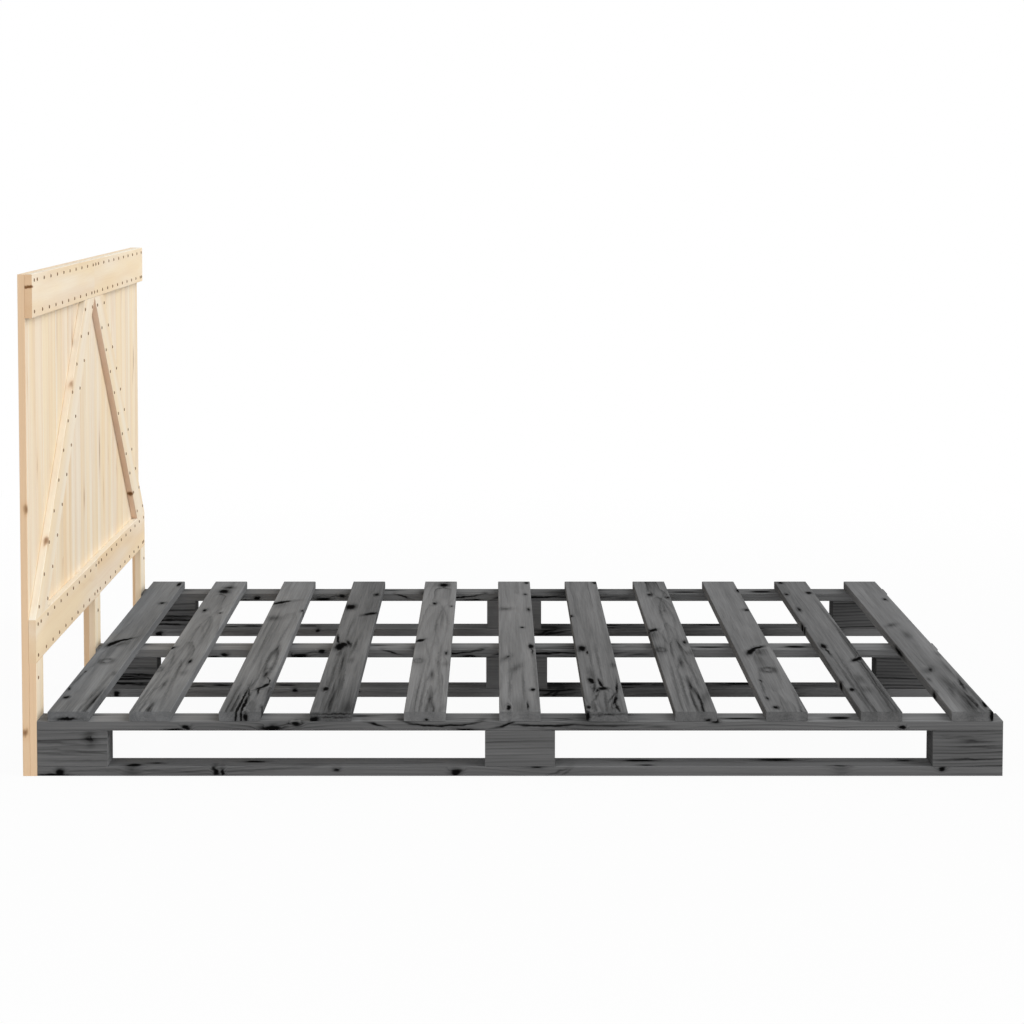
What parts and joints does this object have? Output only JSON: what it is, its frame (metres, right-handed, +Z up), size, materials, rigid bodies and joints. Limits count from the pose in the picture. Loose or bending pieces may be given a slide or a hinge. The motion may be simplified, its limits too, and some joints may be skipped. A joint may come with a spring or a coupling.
{
  "type": "wooden bed frame",
  "caption": "Low pallet-style wooden bed frame with grey stained slats on block-and-board runners and a natural pine plank headboard with rails and two diagonal braces.",
  "frame": {"origin": "on the floor, under the middle of the whole bed's box", "axes": "+X from the head of the bed to its foot, with the headboard at -X; +Y across the bed from the near side to the far side; +Z up from the floor"},
  "size_m": [2.03, 1.8, 1.04],
  "materials": {
    "grey_pine": "matt dark grey stain over knotty pine, grain and knots showing through",
    "natural_pine": "planed natural pine, unfinished, matt",
    "zinc_steel": "bright zinc plating"
  },
  "bodies": {
    "root": {"block_far_foot": "grey_pine", "block_far_head": "grey_pine", "block_far_middle": "grey_pine", "block_middle_foot": "grey_pine", "block_middle_head": "grey_pine", "block_middle_middle": "grey_pine", "block_near_foot": "grey_pine", "block_near_head": "grey_pine", "block_near_middle": "grey_pine", "bottom_board_far": "grey_pine", "bottom_board_middle": "grey_pine", "bottom_board_near": "grey_pine", "brace_far": "natural_pine", "brace_near": "natural_pine", "edge_strip_far": "natural_pine", "edge_strip_near": "natural_pine", "headboard_bolts": "zinc_steel", "leg_far": "natural_pine", "leg_middle": "natural_pine", "leg_middle_strip": "natural_pine", "leg_near": "natural_pine", "lower_rail_far": "natural_pine", "lower_rail_near": "natural_pine", "plank_01": "natural_pine", "plank_02": "natural_pine", "plank_03": "natural_pine", "plank_04": "natural_pine", "plank_05": "natural_pine", "plank_06": "natural_pine", "plank_07": "natural_pine", "plank_08": "natural_pine", "plank_09": "natural_pine", "plank_10": "natural_pine", "plank_11": "natural_pine", "plank_12": "natural_pine", "plank_13": "natural_pine", "plank_14": "natural_pine", "plank_15": "natural_pine", "plank_16": "natural_pine", "plank_17": "natural_pine", "plank_18": "natural_pine", "plank_19": "natural_pine", "plank_20": "natural_pine", "slat_01": "grey_pine", "slat_02": "grey_pine", "slat_03": "grey_pine", "slat_04": "grey_pine", "slat_05": "grey_pine", "slat_06": "grey_pine", "slat_07": "grey_pine", "slat_08": "grey_pine", "slat_09": "grey_pine", "slat_10": "grey_pine", "slat_11": "grey_pine", "stringer_far": "grey_pine", "stringer_middle": "grey_pine", "stringer_near": "grey_pine", "top_rail_far": "natural_pine", "top_rail_near": "natural_pine"}
  },
  "joints": []
}
